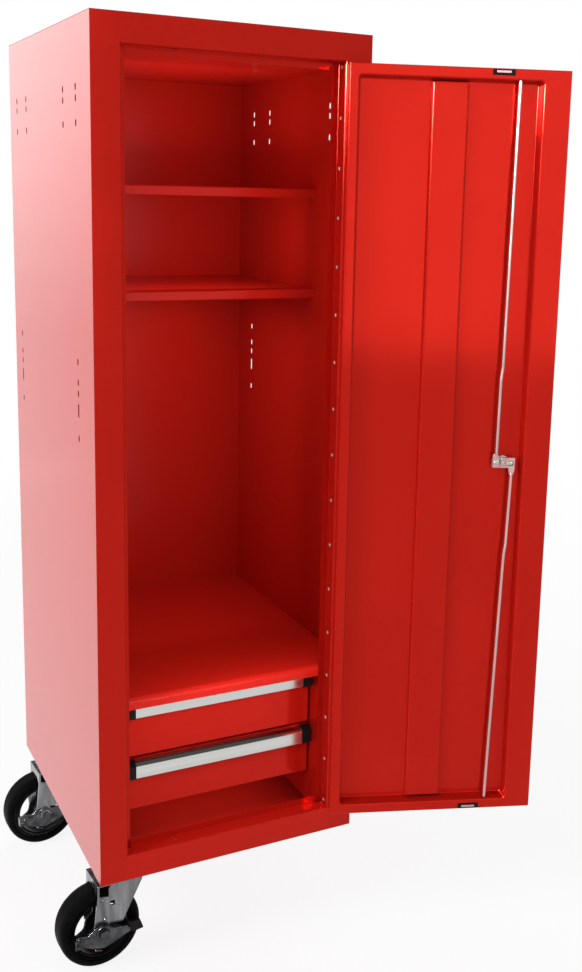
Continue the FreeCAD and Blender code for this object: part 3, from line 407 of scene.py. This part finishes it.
def add_world():
    """Plain soft light. The camera sees white; glossy surfaces see white walls under a darker ceiling."""
    world = bpy.data.worlds.new("studio")
    bpy.context.scene.world = world
    world.use_nodes = True
    tree = world.node_tree
    back = tree.nodes["Background"]
    back.inputs["Color"].default_value = (1, 1, 1, 1)
    coords = tree.nodes.new("ShaderNodeTexCoord")
    axes = tree.nodes.new("ShaderNodeSeparateXYZ")
    tree.links.new(coords.outputs["Generated"], axes.inputs["Vector"])
    room = map_range(tree, axes.outputs["Z"], WALLS_END, CEILING_START, 1.0, CEILING)
    glossy = map_range(tree, rays(tree, "Is Glossy Ray"), 0.0, 1.0, WORLD_LEVEL, room)
    strength = map_range(tree, rays(tree, "Is Camera Ray", "Is Transmission Ray"), 0.0, 1.0, glossy, 1.0)
    tree.links.new(strength, back.inputs["Strength"])


def add_floor():
    """A white floor for the camera and for glossy surfaces, which keeps a soft shadow of the object."""
    mesh = bpy.data.meshes.new("floor")
    square = ((-1, -1), (1, -1), (1, 1), (-1, 1))
    mesh.from_pydata([(x * FLOOR_HALF, y * FLOOR_HALF, FLOOR_Z) for x, y in square], [], [(0, 1, 2, 3)])
    floor = bpy.data.objects.new("floor", mesh)
    bpy.context.scene.collection.objects.link(floor)
    material = bpy.data.materials.new("floor")
    material.use_nodes = True
    tree = material.node_tree
    shader = tree.nodes["Principled BSDF"]
    shader.inputs["Base Color"].default_value = FLOOR_COLOR
    shader.inputs["Roughness"].default_value = FLOOR_ROUGH
    shader.inputs["Specular IOR Level"].default_value = FLOOR_SPECULAR
    glow = tree.nodes.new("ShaderNodeEmission")
    glow.inputs["Strength"].default_value = 1.0
    coords = tree.nodes.new("ShaderNodeTexCoord")
    away = tree.nodes.new("ShaderNodeVectorMath")
    away.operation = "LENGTH"
    tree.links.new(coords.outputs["Object"], away.inputs[0])
    white = map_range(tree, away.outputs["Value"], GLOW_NEAR, GLOW_FAR, FLOOR_GLOW, 1.0)
    share = combine(tree, "MULTIPLY", rays(tree, "Is Camera Ray", "Is Glossy Ray"), white)
    mix = tree.nodes.new("ShaderNodeMixShader")
    tree.links.new(share, mix.inputs["Fac"])
    tree.links.new(shader.outputs["BSDF"], mix.inputs[1])
    tree.links.new(glow.outputs["Emission"], mix.inputs[2])
    tree.links.new(mix.outputs["Shader"], tree.nodes["Material Output"].inputs["Surface"])
    mesh.materials.append(material)


# ---------------------------------------------------------------- light
EDGED = ("door_inner_pan", "door_stiffener", "hinge_leaf_door", "hinge_leaf_frame", "hinge_pin",
         "stile_right", "lock_body", "lock_cam", "rod_upper", "rod_lower", "brake_lever_front",
         "brake_lever_rear", "caster_axle_front", "caster_axle_rear", "caster_fork_front",
         "caster_fork_rear")
DRAWER_FRONTS = ("drawer_front_lower", "drawer_front_upper", "drawer_pull_lower", "drawer_pull_upper",
                 "pull_caps_lower", "pull_caps_upper", "rail_bottom", "floor_pan", "bay_top")
REAR_CASTER = ("caster_head_rear", "caster_fork_rear", "caster_axle_rear", "caster_tyre_rear",
               "brake_lever_rear", "brake_pad_rear")
# the graded panel's parts: height of the middle in millimetres, height in metres, radiance
PANEL_ENDS = [(190, 0.74, 0.32), (2760, 1.4, 1.75)]
PANEL_STEPS = [(660 + 200 * i, 0.2, 0.44 + 0.168 * i) for i in range(8)]
# the front fills: distance behind the front and height of the middle in millimetres, height in metres,
# radiance
FRONT_FILLS = ((215, 1270, 0.20, 0.7), (215, 1062, 0.14, 2.2), (215, 640, 0.56, 0.42),
               (25, 1170, 0.36, 0.65), (25, 975, 0.12, 1.1))


def area(name, place, target, width, height, radiance, mirrored=True, lighting=True, receivers=None,
         blockers=None):
    """A rectangular softbox, width and height in metres, of a given radiance, where 1 is white. mirrored
    says that glossy surfaces show it, lighting that it lights the object. receivers and blockers are the
    groups that it lights and that shade it, which are otherwise everything."""
    place = at(*place)
    data = bpy.data.lights.new(name, "AREA")
    data.shape = "RECTANGLE"
    data.size = width
    data.size_y = height
    data.energy = radiance * math.pi * width * height
    lamp = bpy.data.objects.new(name, data)
    lamp.location = place
    lamp.rotation_euler = (at(*target) - place).to_track_quat("-Z", "Y").to_euler()
    lamp.visible_camera = False
    lamp.visible_glossy = mirrored
    lamp.visible_diffuse = lighting
    if not lighting:
        data.cycles.max_bounces = 0
    if receivers:
        lamp.light_linking.receiver_collection = receivers
    if blockers:
        lamp.light_linking.blocker_collection = blockers
    bpy.context.scene.collection.objects.link(lamp)


def linked(name, objects, state):
    """A light linking group: only these objects, with "INCLUDE", or all but them, with "EXCLUDE"."""
    group = bpy.data.collections.new(name)
    for obj in objects:
        group.objects.link(obj)
    for member in group.collection_objects:
        member.light_linking.link_state = state
    return group


def add_lights(rear_wheel):
    """The studio. The soft paint of the left side doesn't mirror the rear caster."""
    beside = [nodes[name] for name in REAR_CASTER] + [rear_wheel]
    for obj in beside:
        obj.visible_glossy = False
    top = linked("all_but_top", [nodes["top_panel"]], "EXCLUDE")
    caster = linked("all_but_caster", beside, "EXCLUDE")
    fronts = linked("drawer_fronts", [nodes[name] for name in DRAWER_FRONTS], "INCLUDE")
    edged = linked("edged", [nodes[name] for name in EDGED], "INCLUDE")
    area("softbox_front", (250, -3300, 1500), (250, 0, 1500), 1.2, 2.1, 1.3)
    area("softbox_left", (-2600, -200, 2300), (0, 250, 800), 1.6, 1.6, 9.6)
    area("softbox_right", (2900, 1900, 2300), (300, 275, 700), 1.6, 1.6, 4.0, mirrored=False)
    # behind on the left, for the left side: the graded panel's steps run into each other in the paint
    for z, height, radiance in PANEL_ENDS + PANEL_STEPS:
        area("panel_back_left", (-900, 3600, z), (-900, 0, z), 2.2, height, radiance, lighting=False,
             receivers=top, blockers=caster)
    area("softbox_top", (300, 100, 3600), (230, 250, 700), 3.0, 2.4, 1.2, mirrored=False)
    # weak fills for the rooms behind the door opening, from the front and from within, and for the drawers
    for y, z, height, radiance in FRONT_FILLS:
        area("fill_front", (232, y, z), (232, 500, z), 0.32, height, radiance, mirrored=False)
    area("fill_under", (235, 150, 88), (235, 150, 0), 0.30, 0.22, 0.6, mirrored=False)
    area("fill_bay", (235, 330, 930), (235, 330, 300), 0.30, 0.35, 1.0, mirrored=False)
    area("fill_ceiling", (235, 270, 1215), (235, 270, 1400), 0.30, 0.40, 0.9, mirrored=False)
    area("fill_drawers", (230, -130, 400), (230, 10, 200), 0.3, 0.1, 6.5, mirrored=False, receivers=fronts)
    # what only glossy surfaces show: the bright edges of the pressed folds, and the floor's sheen
    area("highlight_left", (-1900, -1900, 2050), (600, -100, 1300), 1.6, 1.1, 240.0, lighting=False,
         receivers=edged)
    area("panel_floor_left", (-810, 1700, -170), (-810, 1700, 1000), 1.6, 4.0, 0.36, lighting=False,
         blockers=caster)


add_camera()
looks = make_materials()
dress(looks)
wheels = {end: add_wheel(end, looks["wheel"]) for end in ("front", "rear")}
add_floor()
add_world()
add_lights(wheels["rear"])
